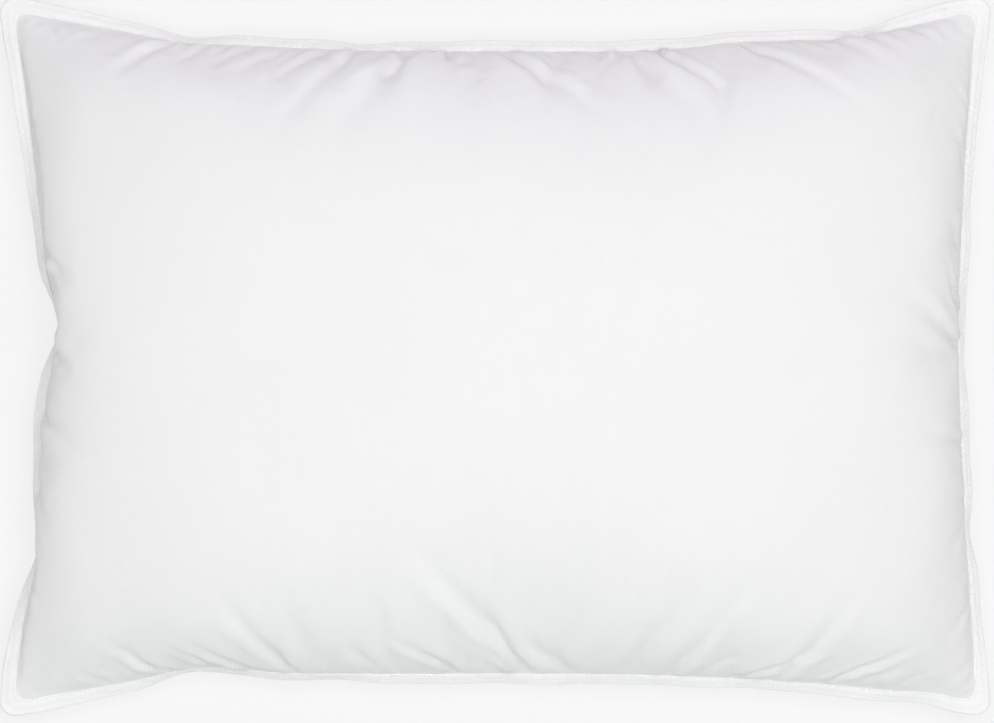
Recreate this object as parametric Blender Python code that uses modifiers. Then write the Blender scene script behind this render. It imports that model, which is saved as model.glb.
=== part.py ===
"""Bed pillow lying flat: two cotton panels sewn together over a down filling.

The panels' margins lie face to face outside the seam, inside a folded binding
that has a thin cord in its fold. Two rows of lockstitch go through the binding
all the way round, each with a needle thread on top and a bobbin thread below,
and a short third row closes the opening that the filling went in through.

Metres. +X runs along the pillow, +Y across it and +Z up. The origin is on the
resting face, under the middle of the pillow.
"""

import math

import bmesh
import bpy
from mathutils import Vector

# the filled pillow: along the seam from corner to corner each way, and its height
SEAM_LENGTH = 0.655
SEAM_WIDTH = 0.466
LOFT = 0.160

# height of the seam above the surface that the pillow lies on
SEAM_HEIGHT = 0.068

# how far the middle of each side is drawn in from the line between its corners
LEFT_DRAW_IN = 0.024
RIGHT_DRAW_IN = 0.017
FRONT_DRAW_IN = 0.024
BACK_DRAW_IN = 0.028
# a higher power keeps a side straighter along its middle
DRAW_IN_POWER = 5.0
CORNER_RADIUS = 0.009
# a higher power keeps the rounding closer to the corner
CORNER_POWER = 126.0

# shape of the filled panels: a lower power is fuller towards the seam
FULLNESS_POWER = 0.85
# how much deeper the lower panel would hang if nothing flattened it
LOWER_FULLNESS = 1.4

PANEL_THICKNESS = 0.0006
BINDING_THICKNESS = 0.0006
BINDING_WIDTH = 0.0105
CORD_DIAMETER = 0.0016
THREAD_DIAMETER = 0.0005
# first row from the binding's inner edge, second row from the cord's centre
SEAM_ROW_INSET = 0.0016
EDGE_ROW_INSET = 0.0024
OPENING_LENGTH = 0.170
OPENING_STEPS = 6

# gap between pieces that touch on a real pillow
GAP = 0.0003
# the filling keeps further off, because its surface is drawn in along its normals
FILLING_GAP = 0.0015

# cells of the panels' grid, even numbers, and steps round the binding's fold
CELLS_LONG = 18
CELLS_WIDE = 14
FOLD_STEPS = 4

# places worked out from the sizes above, measured outwards from the seam
# and up from its height
PANEL_OUTSIDE = GAP / 2 + PANEL_THICKNESS
LEG_INSIDE = PANEL_OUTSIDE + GAP
LEG_OUTSIDE = LEG_INSIDE + BINDING_THICKNESS
BINDING_START = PANEL_THICKNESS + GAP
BINDING_END = BINDING_START + BINDING_WIDTH
FOLD_INSIDE_RADIUS = max(CORD_DIAMETER / 2 + GAP, LEG_INSIDE)
FOLD_OUTSIDE_RADIUS = FOLD_INSIDE_RADIUS + BINDING_THICKNESS
CORD_PLACE = BINDING_END - FOLD_OUTSIDE_RADIUS
MARGIN_WIDTH = CORD_PLACE - CORD_DIAMETER / 2 - 2 * GAP
SEAM_ROW_PLACE = BINDING_START + SEAM_ROW_INSET
EDGE_ROW_PLACE = CORD_PLACE - EDGE_ROW_INSET
OPENING_ROW_PLACE = (SEAM_ROW_PLACE + EDGE_ROW_PLACE) / 2
THREAD_HEIGHT = LEG_OUTSIDE + GAP + THREAD_DIAMETER / 2
CROWN_HEIGHT = LOFT - SEAM_HEIGHT - PANEL_OUTSIDE
LOWER_DEPTH = (SEAM_HEIGHT - PANEL_OUTSIDE) * LOWER_FULLNESS

# colour (linear red, green, blue) and roughness of each material
COTTON = ("cotton_cover", (0.80, 0.80, 0.79), 0.85)
BINDING_COTTON = ("cotton_binding", (0.83, 0.83, 0.83), 0.80)
CORD_COTTON = ("cord_cotton", (0.78, 0.76, 0.72), 0.90)
THREAD_COTTON = ("sewing_thread", (0.86, 0.86, 0.85), 0.60)
DOWN = ("white_down", (0.88, 0.86, 0.82), 0.95)


def plan_point(a, b):
    """Where a point of the square grid, from -1 to 1 each way, lies in plan."""
    u = math.sin(a * math.pi / 2)
    v = math.sin(b * math.pi / 2)
    draw_in_x = RIGHT_DRAW_IN if u > 0 else LEFT_DRAW_IN
    draw_in_y = BACK_DRAW_IN if v > 0 else FRONT_DRAW_IN
    x = u * (SEAM_LENGTH / 2 - draw_in_x * (1 - abs(v) ** DRAW_IN_POWER))
    y = v * (SEAM_WIDTH / 2 - draw_in_y * (1 - abs(u) ** DRAW_IN_POWER))
    # the very corner comes in to where an arc of the corner's radius would pass
    rounding = CORNER_RADIUS * (1 - math.sqrt(0.5)) * abs(u * v) ** CORNER_POWER
    return Vector((x - math.copysign(rounding, u), y - math.copysign(rounding, v)))


def fullness(a, b):
    """Height of the filled shape at a grid point: 1 in the middle, 0 at the seam."""
    across = max(0.0, math.cos(a * math.pi / 2)) * max(0.0, math.cos(b * math.pi / 2))
    return across ** FULLNESS_POWER


def upper_height(a, b):
    """Outer face of the upper panel, above the middle of the seam."""
    return PANEL_OUTSIDE + CROWN_HEIGHT * fullness(a, b)


def lower_height(a, b):
    """Outer face of the lower panel, which lies flat where it rests."""
    return max(-SEAM_HEIGHT, -PANEL_OUTSIDE - LOWER_DEPTH * fullness(a, b))


def seam_loop():
    """The seam's points in plan, once round, at the grid's outer points."""
    steps_long = [2 * i / CELLS_LONG - 1 for i in range(CELLS_LONG)]
    steps_wide = [2 * i / CELLS_WIDE - 1 for i in range(CELLS_WIDE)]
    front = [(a, -1.0) for a in steps_long]
    right = [(1.0, b) for b in steps_wide]
    back = [(-a, 1.0) for a in steps_long]
    left = [(-1.0, -b) for b in steps_wide]
    return [plan_point(a, b) for a, b in front + right + back + left]


def moved_out(loop, distance):
    """The loop moved outwards in plan, each point square to its two neighbours."""
    moved = []
    for i, here in enumerate(loop):
        before = (here - loop[i - 1]).normalized()
        after = (loop[(i + 1) % len(loop)] - here).normalized()
        along = (before + after).normalized()
        moved.append(here + distance * Vector((along.y, -along.x)))
    return moved


def make_material(name, colour, roughness):
    """A Principled material of one colour."""
    material = bpy.data.materials.new(name)
    material.use_nodes = True
    shader = material.node_tree.nodes["Principled BSDF"]
    shader.inputs["Base Color"].default_value = (*colour, 1.0)
    shader.inputs["Roughness"].default_value = roughness
    shader.inputs["Metallic"].default_value = 0.0
    return material


def add_object(name, data, material, height=0.0):
    """Puts a mesh or curve in the pillow's collection, under the pillow's empty."""
    obj = bpy.data.objects.new(name, data)
    bpy.data.collections["bed_pillow"].objects.link(obj)
    obj.parent = bpy.data.objects["bed_pillow_origin"]
    obj.location.z = height
    if material is not None:
        data.materials.append(material)
    return obj


def add_grid(bm, height_of, facing_up):
    """Adds one panel's surface to bm and returns its faces."""
    made = bmesh.ops.create_grid(bm, x_segments=CELLS_LONG, y_segments=CELLS_WIDE, size=1.0)
    faces = list({face for vert in made["verts"] for face in vert.link_faces})
    for vert in made["verts"]:
        a, b = vert.co.x, vert.co.y
        vert.co = (*plan_point(a, b), height_of(a, b))
    if not facing_up:
        bmesh.ops.reverse_faces(bm, faces=faces)
    return faces


def make_panel(name, material, height_of, facing_up):
    """A cover panel: the filled shape with a flat margin outside the seam."""
    bm = bmesh.new()
    add_grid(bm, height_of, facing_up)
    seam = seam_loop()
    margin = moved_out(seam, MARGIN_WIDTH)
    rim = [edge for edge in bm.edges if edge.is_boundary]
    grown = bmesh.ops.extrude_edge_only(bm, edges=rim)["geom"]
    for vert in grown:
        if isinstance(vert, bmesh.types.BMVert):
            from_seam = [(point - vert.co.xy).length for point in seam]
            vert.co.xy = margin[from_seam.index(min(from_seam))]
    mesh = bpy.data.meshes.new(name)
    bm.to_mesh(mesh)
    bm.free()
    mesh.shade_smooth()
    mesh.set_sharp_from_angle(angle=math.radians(50))
    panel = add_object(name, mesh, material, SEAM_HEIGHT)
    # the surface is the outer face, so the cloth's thickness goes inwards from it
    solidify = panel.modifiers.new("cloth_thickness", "SOLIDIFY")
    solidify.thickness = PANEL_THICKNESS
    solidify.offset = -1.0
    solidify.use_even_offset = True
    return panel


def make_filling(material):
    """The down as one closed body: the cover's outer shape, drawn in all over."""
    bm = bmesh.new()
    add_grid(bm, upper_height, facing_up=True)
    add_grid(bm, lower_height, facing_up=False)
    for vert in bm.verts:
        if vert.is_boundary:
            vert.co.z = 0.0
    bmesh.ops.remove_doubles(bm, verts=bm.verts, dist=0.00001)
    mesh = bpy.data.meshes.new("down_filling")
    bm.to_mesh(mesh)
    bm.free()
    mesh.shade_smooth()
    filling = add_object("down_filling", mesh, material, SEAM_HEIGHT)
    shrink = filling.modifiers.new("clear_of_cover", "DISPLACE")
    shrink.mid_level = 0.0
    shrink.strength = -(PANEL_THICKNESS + FILLING_GAP)
    return filling


def poly_curve(name, points, closed):
    """A curve of straight stretches through points in the plane of the seam."""
    curve = bpy.data.curves.new(name, "CURVE")
    curve.dimensions = "3D"
    curve.twist_mode = "Z_UP"
    spline = curve.splines.new("POLY")
    spline.points.add(len(points) - 1)
    for spline_point, point in zip(spline.points, points):
        spline_point.co = (point.x, point.y, 0.0, 1.0)
    spline.use_cyclic_u = closed
    return curve


def make_strand(name, material, points, diameter, height, closed=True):
    """A round cord or thread laid along points, its middle at a height."""
    curve = poly_curve(name, points, closed)
    curve.bevel_depth = diameter / 2
    curve.bevel_resolution = 1 if diameter > THREAD_DIAMETER else 0
    curve.use_fill_caps = not closed
    return add_object(name, curve, material, height)


def fold_arc(radius):
    """Half a circle round the cord's place, from above it to below it."""
    angles = [math.pi * (0.5 - i / FOLD_STEPS) for i in range(FOLD_STEPS + 1)]
    return [Vector((CORD_PLACE + radius * math.cos(t), radius * math.sin(t))) for t in angles]


def make_binding(material):
    """The binding: a strip folded over the margins' edges, round the cord."""
    outside = [Vector((BINDING_START, LEG_OUTSIDE)), *fold_arc(FOLD_OUTSIDE_RADIUS)]
    outside.append(Vector((BINDING_START, -LEG_OUTSIDE)))
    inside = [Vector((BINDING_START, LEG_INSIDE)), *fold_arc(FOLD_INSIDE_RADIUS)]
    inside.append(Vector((BINDING_START, -LEG_INSIDE)))
    section = poly_curve("binding_section", outside + inside[::-1], closed=True)
    guide = bpy.data.objects.new("binding_section", section)
    guide.hide_render = True
    guide.display_type = "WIRE"
    bpy.data.collections["guides"].objects.link(guide)
    curve = poly_curve("edge_binding", seam_loop(), closed=True)
    curve.bevel_mode = "OBJECT"
    curve.bevel_object = guide
    return add_object("edge_binding", curve, material, SEAM_HEIGHT)


def make_stitch_row(name, material, place):
    """One row of lockstitch round the binding: needle thread above, bobbin below."""
    row = moved_out(seam_loop(), place)
    for thread, side in (("needle", 1), ("bobbin", -1)):
        height = SEAM_HEIGHT + side * THREAD_HEIGHT
        make_strand(f"{name}_{thread}_thread", material, row, THREAD_DIAMETER, height)


def make_opening_row(material):
    """The thread that closes the filling opening, under the left side's binding."""
    row = []
    for i in range(OPENING_STEPS + 1):
        y = OPENING_LENGTH * (0.5 - i / OPENING_STEPS)
        on_seam = plan_point(-1.0, math.asin(2 * y / SEAM_WIDTH) * 2 / math.pi)
        row.append(Vector((on_seam.x - OPENING_ROW_PLACE, y)))
    height = SEAM_HEIGHT - THREAD_HEIGHT
    make_strand("opening_thread", material, row, THREAD_DIAMETER, height, closed=False)


def clear_scene():
    """Removes every object, and sets up the pillow's collections and its empty."""
    for obj in list(bpy.data.objects):
        bpy.data.objects.remove(obj, do_unlink=True)
    for name in ("bed_pillow", "guides"):
        collection = bpy.data.collections.new(name)
        bpy.context.scene.collection.children.link(collection)
    origin = bpy.data.objects.new("bed_pillow_origin", None)
    bpy.data.collections["bed_pillow"].objects.link(origin)


def main():
    clear_scene()
    cotton = make_material(*COTTON)
    thread = make_material(*THREAD_COTTON)
    make_panel("top_panel", cotton, upper_height, facing_up=True)
    make_panel("bottom_panel", cotton, lower_height, facing_up=False)
    make_filling(make_material(*DOWN))
    make_binding(make_material(*BINDING_COTTON))
    cord_line = moved_out(seam_loop(), CORD_PLACE)
    make_strand("edge_cord", make_material(*CORD_COTTON), cord_line, CORD_DIAMETER, SEAM_HEIGHT)
    make_stitch_row("seam", thread, SEAM_ROW_PLACE)
    make_stitch_row("edge", thread, EDGE_ROW_PLACE)
    make_opening_row(thread)


main()
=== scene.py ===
"""A down pillow lying flat, with a woven cotton cover and a bound, corded edge.

The cover's two panels are cut flat, drawn in along the seam and blown up by the
filling in a cloth simulation, which gives their broad shape and soft wrinkles.
The simulated height is then fitted to the pillow's loft, and the larger creases
and the short puckers are pressed in at the places given. The binding, cord
and stitches follow the same seam.
"""

import logging
import math
from collections.abc import Iterator
from contextlib import contextmanager
from dataclasses import dataclass, field
from enum import Enum

import bpy
import numpy as np
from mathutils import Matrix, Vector, noise


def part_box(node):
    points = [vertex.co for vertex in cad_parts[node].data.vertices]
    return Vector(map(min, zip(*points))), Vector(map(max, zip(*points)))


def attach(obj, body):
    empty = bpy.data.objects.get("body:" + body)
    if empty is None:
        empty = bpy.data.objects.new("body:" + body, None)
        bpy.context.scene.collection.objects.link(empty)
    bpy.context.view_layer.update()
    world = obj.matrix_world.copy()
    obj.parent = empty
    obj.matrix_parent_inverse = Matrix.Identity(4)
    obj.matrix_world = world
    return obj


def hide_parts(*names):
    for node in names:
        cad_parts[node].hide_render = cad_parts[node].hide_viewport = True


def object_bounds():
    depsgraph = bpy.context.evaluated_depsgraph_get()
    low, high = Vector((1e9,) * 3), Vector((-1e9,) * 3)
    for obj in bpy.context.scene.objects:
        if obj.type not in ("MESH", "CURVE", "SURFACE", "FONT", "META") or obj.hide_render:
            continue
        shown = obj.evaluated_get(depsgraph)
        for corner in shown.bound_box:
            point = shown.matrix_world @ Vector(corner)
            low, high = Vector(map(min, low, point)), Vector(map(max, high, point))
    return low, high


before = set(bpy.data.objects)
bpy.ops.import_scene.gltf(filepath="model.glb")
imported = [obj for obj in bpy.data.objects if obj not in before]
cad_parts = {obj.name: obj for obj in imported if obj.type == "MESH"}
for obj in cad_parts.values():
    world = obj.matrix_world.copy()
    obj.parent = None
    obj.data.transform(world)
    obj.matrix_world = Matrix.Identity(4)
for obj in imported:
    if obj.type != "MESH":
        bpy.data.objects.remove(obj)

logging.basicConfig(level=logging.INFO, format="%(name)s: %(message)s")
log = logging.getLogger("bed_pillow")

CAD_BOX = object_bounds()
BINDING_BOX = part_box("edge_binding")
# past this share of the way out, a point of the cut lies on its edge
ON_EDGE = 0.9999
Array = np.ndarray


# ---------------------------------------------------------------- small helpers


def deselect() -> None:
    """Leaves object mode with nothing selected."""
    if bpy.context.object is not None and bpy.context.object.mode != "OBJECT":
        bpy.ops.object.mode_set(mode="OBJECT")
    bpy.ops.object.select_all(action="DESELECT")


def make_active(obj: bpy.types.Object) -> None:
    """Selects one object and makes it the active one."""
    deselect()
    obj.select_set(True)
    bpy.context.view_layer.objects.active = obj


@contextmanager
def editing(obj: bpy.types.Object) -> Iterator[None]:
    """Opens a mesh in edit mode, all selected, and closes it afterwards."""
    make_active(obj)
    bpy.ops.object.mode_set(mode="EDIT")
    bpy.ops.mesh.select_all(action="SELECT")
    yield
    bpy.ops.object.mode_set(mode="OBJECT")


def coordinates(obj: bpy.types.Object) -> Array:
    """The mesh's points as an array of rows."""
    flat = np.empty(len(obj.data.vertices) * 3)
    obj.data.vertices.foreach_get("co", flat)
    return flat.reshape(-1, 3)


def place_points(obj: bpy.types.Object, points: Array) -> None:
    """Moves the mesh's points to new places."""
    obj.data.vertices.foreach_set("co", np.asarray(points, float).ravel())
    obj.data.update()


def apply_modifiers(obj: bpy.types.Object) -> None:
    """Applies all of an object's modifiers, first to last."""
    make_active(obj)
    for modifier in list(obj.modifiers):
        bpy.ops.object.modifier_apply(modifier=modifier.name)


def grid_strip(name: str, across: int, along: int) -> bpy.types.Object:
    """Adds a flat grid from -1 to 1 each way, to be shaped afterwards.

    Args:
        name: The new object's name.
        across: Cells along X.
        along: Cells along Y.

    Returns:
        The grid's object, at the origin.
    """
    deselect()
    bpy.ops.mesh.primitive_grid_add(x_subdivisions=across, y_subdivisions=along, size=2.0)
    obj = bpy.context.object
    obj.name = name
    obj.data.name = name
    return obj


def write_uv(obj: bpy.types.Object, per_point: Array) -> None:
    """Gives the mesh a UV map in metres of cloth.

    Args:
        obj: The mesh object.
        per_point: Each point's place on the flat cloth, in metres.
    """
    layer = obj.data.uv_layers.active or obj.data.uv_layers.new(name="cloth")
    layer.name = "cloth"
    corners = np.empty(len(obj.data.loops), int)
    obj.data.loops.foreach_get("vertex_index", corners)
    layer.data.foreach_set("uv", per_point[corners].ravel())


def ramp(values: Array, start: float, end: float) -> Array:
    """0 up to start, 1 from end on, and a straight rise between them."""
    return np.clip((values - start) / (end - start), 0, 1)


def wander(points: Array, size: float, seed: float) -> Array:
    """Smooth noise from about -1 to 1 at each point.

    Args:
        points: Rows of X, Y and Z.
        size: How far apart the bumps lie, in metres.
        seed: Shifts the pattern to another place.

    Returns:
        One number for each point.
    """
    shift = Vector((seed * 17.3, seed * 5.1, seed * 9.7))
    return np.array([noise.noise(Vector(p) / size + shift) for p in points]) * 1.6


# ---------------------------------------------------------------- the sewn line


class Side(Enum):
    """The pillow's four sides, named as it lies."""

    FRONT = "front"
    RIGHT = "right"
    BACK = "back"
    LEFT = "left"


@dataclass(frozen=True)
class Spot:
    """One place along a side, with how wide and how strong its effect is.

    place runs from -1 to 1 along the side, in the direction of +X or +Y.
    """

    place: float
    spread: float
    amount: float

    def bump(self, t: Array) -> Array:
        """A smooth rise of the spot's amount round its place."""
        return self.amount * np.exp(-(((t - self.place) / self.spread) ** 2))


@dataclass(frozen=True)
class Crease:
    """One crease that runs in from the seam over the filled cloth.

    place runs from -1 to 1 along the side. length is how far in it reaches and
    depth how deep it is, in metres of cloth. lean is how far it drifts along
    the side for each metre that it goes in. The ridge beside it is on the side
    of its sign.
    """

    side: Side
    place: float
    length: float
    depth: float
    lean: float
    width: float = 0.0050
    # the trough curves and widens on its way in, and fades at both ends
    curve: float = 0.25
    start_width: float = 0.65
    widening: float = 1.1
    start_length: float = 0.004
    fade_power: float = 1.2
    # height, place and spread of the ridge on the trough's one side and the other
    ridge: tuple[float, float, float] = (0.55, 1.6, 1.2)
    far_ridge: tuple[float, float, float] = (0.30, -1.9, 1.3)

    def height(self, flat: Array, half: Array) -> Array:
        """How far the crease moves each point of the cloth outwards.

        Args:
            flat: Points of the flat cloth, in metres from its middle.
            half: Half the cut's length and width.

        Returns:
            One height for each point, below 0 in the crease.
        """
        x, y = flat[:, 0], flat[:, 1]
        run, inward, reach = {
            Side.FRONT: (x, half[1] + y, half[0]),
            Side.BACK: (x, half[1] - y, half[0]),
            Side.LEFT: (y, half[0] + x, half[1]),
            Side.RIGHT: (y, half[0] - x, half[1]),
        }[self.side]
        share = np.clip(inward / self.length, 0, 1)
        middle = self.place * reach + self.lean * inward * (1 + self.curve * share)
        spread = self.width * (self.start_width + self.widening * share)
        across = (run - middle) / spread * math.copysign(1.0, self.lean)
        start = 1 - np.exp(-np.maximum(inward, 0) / self.start_length)
        fade = start * (1 - share) ** self.fade_power
        fold = -np.exp(-(across**2))
        for high, place, wide in (self.ridge, self.far_ridge):
            fold = fold + high * np.exp(-(((across - place) / wide) ** 2))
        return self.depth * fade * fold


@dataclass(frozen=True)
class SideShape:
    """How one side of the sewn line runs between its corners.

    draw_in is in metres, and the two powers say how straight the side stays
    before and after its middle. dents are drawn in further, in metres. tucks
    take in that share of the cloth at the seam, which starts a crease. turns
    tip the flange down by that many radians.
    """

    draw_in: float
    low_power: float
    high_power: float
    dents: tuple[Spot, ...] = ()
    tucks: tuple[Spot, ...] = ()
    turns: tuple[Spot, ...] = ()

    def drawn_in(self, t: Array) -> Array:
        """How far the side lies inside the line between its corners."""
        power = np.where(t < 0, self.low_power, self.high_power)
        depth = self.draw_in * (1 - np.abs(t) ** power)
        return depth + sum(dent.bump(t) for dent in self.dents)

    def gathered(self, t: Array) -> Array:
        """Where cloth cut at t is sewn to, with the tucks taken in."""
        moved = t.copy()
        for tuck in self.tucks:
            moved = moved - (t - tuck.place) * tuck.bump(t)
        return moved

    def turned(self, t: Array) -> Array:
        """How far the flange is tipped down, in radians."""
        return sum((turn.bump(t) for turn in self.turns), np.zeros_like(t))


@dataclass(frozen=True)
class Rail:
    """Points once round the sewn line, even along the flange, with its directions.

    widening is how much wider the flange is there than along a straight side.
    """

    points: Array
    outward: Array
    upward: Array
    along: Array
    widening: Array
    length: float

    def place(self, station: Array, out: Array, up: Array) -> Array:
        """Points in the flange's own directions.

        Args:
            station: Whole numbers that pick rail points.
            out: Distance from the seam towards the flange's edge.
            up: Height over the middle of the flange.

        Returns:
            Rows of X, Y and Z.
        """
        wide = out * self.widening[station]
        return (
            self.points[station]
            + wide[:, None] * self.outward[station]
            + up[:, None] * self.upward[station]
        )

    def nearest(self, points: Array) -> Array:
        """The rail point nearest to each point in plan."""
        apart = points[:, None, :2] - self.points[None, :, :2]
        return np.einsum("ijk,ijk->ij", apart, apart).argmin(axis=1)


@dataclass(frozen=True)
class SewnLine:
    """The line along which the two panels are sewn together."""

    # how far the bound edge stands past the seam at a corner, along and across
    corner_reach: tuple[float, float] = (0.0108, 0.0085)
    corner_radius: float = 0.0140
    # an arc's middle lies this share of its radius in from the square corner
    corner_inset: float = 0.293
    height: float = 0.066
    corner_droop: float = 0.011
    corner_mitre: float = 0.77
    flange_width: float = 0.0111
    flange_tilt: float = 0.76
    corner_tilt_share: float = 0.12
    steps_per_side: int = 1600
    smoothing: int = 12
    height_smoothing: float = 0.006
    even_line: float = 0.005
    # each wave's tilt in radians, how many go round the pillow, and its phase
    waves: tuple[tuple[float, int, float], ...] = ((0.06, 23, 0.0), (0.05, 41, 1.3))
    sides: dict[Side, SideShape] = field(
        default_factory=lambda: {
            Side.FRONT: SideShape(
                0.0214,
                4.0,
                3.0,
                dents=(Spot(-0.60, 0.13, 0.0060), Spot(0.92, 0.06, 0.0022)),
                tucks=(Spot(-0.65, 0.03, 0.20), Spot(0.48, 0.03, 0.20)),
                turns=(
                    Spot(-0.64, 0.13, 0.60),
                    Spot(-0.38, 0.14, 0.30),
                    Spot(0.89, 0.07, 0.35),
                ),
            ),
            Side.RIGHT: SideShape(
                0.0142,
                1.6,
                2.4,
                tucks=(Spot(0.05, 0.05, 0.20),),
                turns=(Spot(0.02, 0.24, 0.26), Spot(-0.52, 0.09, 0.44)),
            ),
            Side.BACK: SideShape(
                0.0289,
                2.8,
                3.0,
                dents=(
                    Spot(0.77, 0.10, 0.0026),
                    Spot(0.50, 0.10, -0.0030),
                    Spot(-0.65, 0.08, 0.0020),
                ),
                tucks=(Spot(-0.66, 0.03, 0.20), Spot(0.32, 0.03, 0.15)),
                turns=(
                    Spot(-0.63, 0.09, 0.44),
                    Spot(-0.27, 0.08, 0.35),
                    Spot(0.77, 0.09, 0.40),
                ),
            ),
            Side.LEFT: SideShape(
                0.0235,
                1.7,
                2.3,
                dents=(Spot(0.08, 0.13, 0.0090), Spot(-0.56, 0.15, 0.0036)),
                tucks=(Spot(0.08, 0.05, 0.30), Spot(0.33, 0.04, 0.20)),
                turns=(
                    Spot(0.08, 0.12, 0.60),
                    Spot(0.30, 0.15, 0.30),
                    Spot(-0.54, 0.14, 0.70),
                    Spot(0.72, 0.24, -0.36),
                    Spot(-0.88, 0.10, -0.20),
                ),
            ),
        }
    )

    def half_size(self) -> tuple[float, float]:
        """Half the seam's length and width, from corner to corner."""
        low, high = BINDING_BOX
        half_length = (high[0] - low[0]) / 2 - self.corner_reach[0]
        half_width = (high[1] - low[1]) / 2 - self.corner_reach[1]
        return half_length, half_width

    def plan(self, u: Array, v: Array) -> tuple[Array, Array]:
        """Where a point of the square from -1 to 1 lies in plan.

        Args:
            u: Place along the pillow.
            v: Place across it.

        Returns:
            X and Y, in metres.
        """
        half_length, half_width = self.half_size()
        left = -half_length + self.sides[Side.LEFT].drawn_in(v)
        right = half_length - self.sides[Side.RIGHT].drawn_in(v)
        front = -half_width + self.sides[Side.FRONT].drawn_in(u)
        back = half_width - self.sides[Side.BACK].drawn_in(u)
        x = left + (right - left) * (u + 1) / 2
        y = front + (back - front) * (v + 1) / 2
        # the corner itself comes in as far as an arc of its radius would
        inset_x = np.clip(1 - (1 - np.abs(u)) * half_length / self.corner_radius, 0, 1)
        inset_y = np.clip(1 - (1 - np.abs(v)) * half_width / self.corner_radius, 0, 1)
        rounding = self.corner_inset * self.corner_radius * (inset_x * inset_y) ** 2
        return x - np.sign(u) * rounding, y - np.sign(v) * rounding

    def level(self, u: Array, v: Array) -> Array:
        """The seam's height: lower at the corners, and never quite even."""
        droop = self.corner_droop * np.abs(u * v) ** 3
        long_ripple = 0.0016 * np.sin(7.1 * u + 2.3 * v)
        cross_ripple = 0.0012 * np.cos(5.3 * v - 3.7 * u)
        return self.height - droop + (long_ripple + cross_ripple)

    def sewn(self, u: Array, v: Array) -> Array:
        """Where the edge of a panel is sewn to, tucks and all.

        Args:
            u: Place along the pillow, on the panel's edge.
            v: Place across it.

        Returns:
            Rows of X, Y and Z.
        """
        u_sewn, v_sewn = u.copy(), v.copy()
        for side, on_side, t, target in (
            (Side.FRONT, v < -ON_EDGE, u, u_sewn),
            (Side.BACK, v > ON_EDGE, u, u_sewn),
            (Side.LEFT, u < -ON_EDGE, v, v_sewn),
            (Side.RIGHT, u > ON_EDGE, v, v_sewn),
        ):
            target[on_side] = self.sides[side].gathered(t[on_side])
        x, y = self.plan(u_sewn, v_sewn)
        return np.column_stack((x, y, self.level(u_sewn, v_sewn)))

    def rail(self, spacing: float) -> Rail:
        """Evenly spaced points once round the line, anticlockwise from above.

        Args:
            spacing: About how far apart the points are, in metres.

        Returns:
            The points, with the flange's directions at each.
        """
        t = np.linspace(-1, 1, self.steps_per_side, endpoint=False)
        one = np.ones_like(t)
        u = np.concatenate((t, one, -t, -one))
        v = np.concatenate((-one, t, one, -t))
        turn = np.concatenate(
            (
                self.sides[Side.FRONT].turned(t),
                self.sides[Side.RIGHT].turned(t),
                self.sides[Side.BACK].turned(-t),
                self.sides[Side.LEFT].turned(-t),
            )
        )
        x, y = self.plan(u, v)
        fine = np.column_stack((x, y, self.level(u, v)))
        along = np.roll(fine, -6, axis=0) - np.roll(fine, 6, axis=0)
        flat_out = np.column_stack((along[:, 1], -along[:, 0], np.zeros(len(u))))
        flat_out = unit(smoothed_loop(unit(flat_out), self.smoothing))
        # the flange's edge turns a corner more sharply than the seam does
        turned = np.maximum(np.abs(flat_out[:, :2]).max(axis=1), self.corner_mitre)
        outer = (self.flange_width + self.corner_radius) / turned - self.corner_radius
        widening = smoothed_loop(outer / self.flange_width, self.smoothing)
        corner = np.abs(u * v) ** 5
        rows = np.column_stack((fine, flat_out, widening, turn, corner))
        even, length = self.evenly(rows, self.even_line, spacing)
        points, flat_out, widening = even[:, :3], unit(even[:, 3:6]), even[:, 6]
        reach = int(self.height_smoothing / spacing) + 1
        points[:, 2] = smoothed_loop(points[:, 2], reach)
        turn, corner = smoothed_loop(even[:, 7:9], reach).T
        share = np.arange(len(points)) / len(points)
        tilt = self.flange_tilt + turn
        for size, count, phase in self.waves:
            tilt = tilt + size * np.sin(math.tau * share * count + phase)
        tilt = tilt * (1 - (1 - self.corner_tilt_share) * corner)
        up = np.array((0.0, 0.0, 1.0))
        outward = np.cos(tilt)[:, None] * flat_out - np.sin(tilt)[:, None] * up
        upward = np.sin(tilt)[:, None] * flat_out + np.cos(tilt)[:, None] * up
        return Rail(points, outward, upward, np.cross(upward, outward), widening, length)

    def evenly(self, rows: Array, out: float, spacing: float) -> tuple[Array, float]:
        """Spaces a closed loop evenly along a line beside it.

        Args:
            rows: X, Y, Z, the outward direction and the widening, then anything else.
            out: How far outside the loop the even line lies.
            spacing: About how far apart its points are.

        Returns:
            The rows at even places, and the line's length.
        """
        closed = np.vstack((rows, rows[:1]))
        beside = closed[:, :3] + out * closed[:, 6:7] * closed[:, 3:6]
        steps = np.linalg.norm(np.diff(beside, axis=0), axis=1)
        run = np.concatenate(([0.0], np.cumsum(steps)))
        # whole stitches go round the pillow
        count = 4 * int(round(run[-1] / spacing / 4))
        places = np.arange(count) * run[-1] / count
        even = np.column_stack([np.interp(places, run, column) for column in closed.T])
        return even, float(run[-1])


def unit(rows: Array) -> Array:
    """Each row made one metre long."""
    return rows / np.linalg.norm(rows, axis=1, keepdims=True)


def smoothed_loop(rows: Array, reach: int) -> Array:
    """Rows of a closed loop, each averaged with its neighbours.

    Args:
        rows: One row for each point of the loop.
        reach: How many neighbours count, on either side.

    Returns:
        The averaged rows.
    """
    total = sum(np.roll(rows, shift, axis=0) for shift in range(-reach, reach + 1))
    return total / (2 * reach + 1)


# ---------------------------------------------------------------- finishes


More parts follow.
